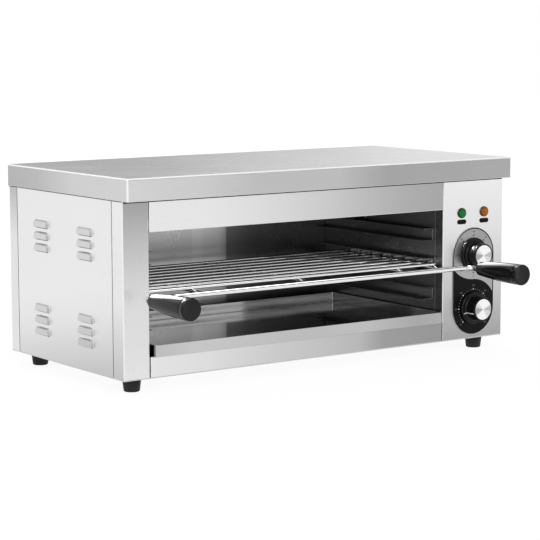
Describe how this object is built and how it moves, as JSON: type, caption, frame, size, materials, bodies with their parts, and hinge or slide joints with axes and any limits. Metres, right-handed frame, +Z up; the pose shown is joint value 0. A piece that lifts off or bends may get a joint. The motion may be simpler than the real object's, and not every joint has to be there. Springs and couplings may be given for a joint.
{
  "type": "salamander grill",
  "caption": "Table-top electric salamander grill: open-front steel cabinet, sliding wire rack with a two-grip handle bar, crumb tray, two rotary knobs and pilot lamps.",
  "frame": {"origin": "on the table, under the middle of the whole grill's bounding box", "axes": "+X to the right seen from the front, along the cabinet's width; +Y from the front to the back; +Z up"},
  "size_m": [0.612, 0.413, 0.264],
  "materials": {
    "cabinet_steel": "satin stainless sheet",
    "chamber_steel": "stainless sheet, darker inside the chamber",
    "tray_steel": "stainless sheet, polished inside",
    "element_sheath": "dark oxidised heater sheath",
    "ceramic": "unglazed cream ceramic",
    "brass": "plain brass",
    "copper": "bare copper",
    "dial_metal": "satin aluminium with a black printed lower field",
    "black_plastic": "moulded black plastic",
    "black_print": "thin black label",
    "gland_plastic": "black nylon",
    "green_lens": "translucent green",
    "amber_lens": "translucent amber",
    "foot_rubber": "black rubber",
    "zinc": "bright zinc plating",
    "rack_wire": "bright plated wire",
    "grip_plastic": "glossy black phenolic",
    "knob_plastic": "glossy black phenolic",
    "spun_aluminium": "spun aluminium disc"
  },
  "bodies": {
    "cabinet": {"base_plate": "cabinet_steel", "left_post": "cabinet_steel", "control_panel": "cabinet_steel", "upper_fascia": "cabinet_steel", "lower_fascia": "cabinet_steel", "left_side_panel": "cabinet_steel", "right_side_panel": "cabinet_steel", "rear_panel": "cabinet_steel", "top_cover": "cabinet_steel", "chamber_left_wall": "chamber_steel", "chamber_right_wall": "chamber_steel", "chamber_back_wall": "chamber_steel", "chamber_ceiling": "chamber_steel", "chamber_floor": "chamber_steel", "left_runner_lower": "chamber_steel", "left_runner_middle": "chamber_steel", "left_runner_upper": "chamber_steel", "right_runner_lower": "chamber_steel", "right_runner_middle": "chamber_steel", "right_runner_upper": "chamber_steel", "front_heating_element": "element_sheath", "rear_heating_element": "element_sheath", "element_brackets": "chamber_steel", "element_bushings": "ceramic", "element_terminals": "brass", "dial_plate": "dial_metal", "timer_switch": "black_plastic", "thermostat": "black_plastic", "thermostat_bulb": "copper", "power_lamp_lens": "green_lens", "power_lamp_body": "black_plastic", "heat_lamp_lens": "amber_lens", "heat_lamp_body": "black_plastic", "lamp_tags": "black_print", "terminal_block": "ceramic", "bulb_clips": "chamber_steel", "thermostat_capillary": "copper", "cable_gland": "gland_plastic", "gland_nut": "gland_plastic", "bonding_stud": "brass", "feet": "foot_rubber", "foot_screws": "zinc", "foot_nuts": "zinc", "cover_screws": "zinc", "rear_panel_screws": "zinc"},
    "rack": {"rack_frame": "rack_wire", "rack_cross_rods": "rack_wire", "rack_support_wires": "rack_wire", "rack_handle_bar": "rack_wire", "left_grip": "grip_plastic", "right_grip": "grip_plastic", "grip_ferrules": "rack_wire"},
    "tray": {"crumb_tray": "tray_steel"},
    "timer_dial": {"timer_knob": "knob_plastic", "timer_knob_cap": "spun_aluminium", "timer_shaft": "zinc"},
    "thermostat_dial": {"thermostat_knob": "knob_plastic", "thermostat_knob_cap": "spun_aluminium", "thermostat_shaft": "zinc"}
  },
  "joints": [
    {"name": "rack_slide", "type": "slide", "parent": "cabinet", "child": "rack", "axis": [0, -1, 0], "range_m": [0, 0.15]},
    {"name": "tray_slide", "type": "slide", "parent": "cabinet", "child": "tray", "axis": [0, -1, 0], "range_m": [0, 0.2]},
    {"name": "timer_turn", "type": "hinge", "parent": "cabinet", "child": "timer_dial", "pos_m": [0.2505, -0.0905, 0.1335], "axis": [0, 1, 0], "range_deg": [0, 270]},
    {"name": "thermostat_turn", "type": "hinge", "parent": "cabinet", "child": "thermostat_dial", "pos_m": [0.2505, -0.0905, 0.06], "axis": [0, 1, 0], "range_deg": [-26, 244]}
  ]
}
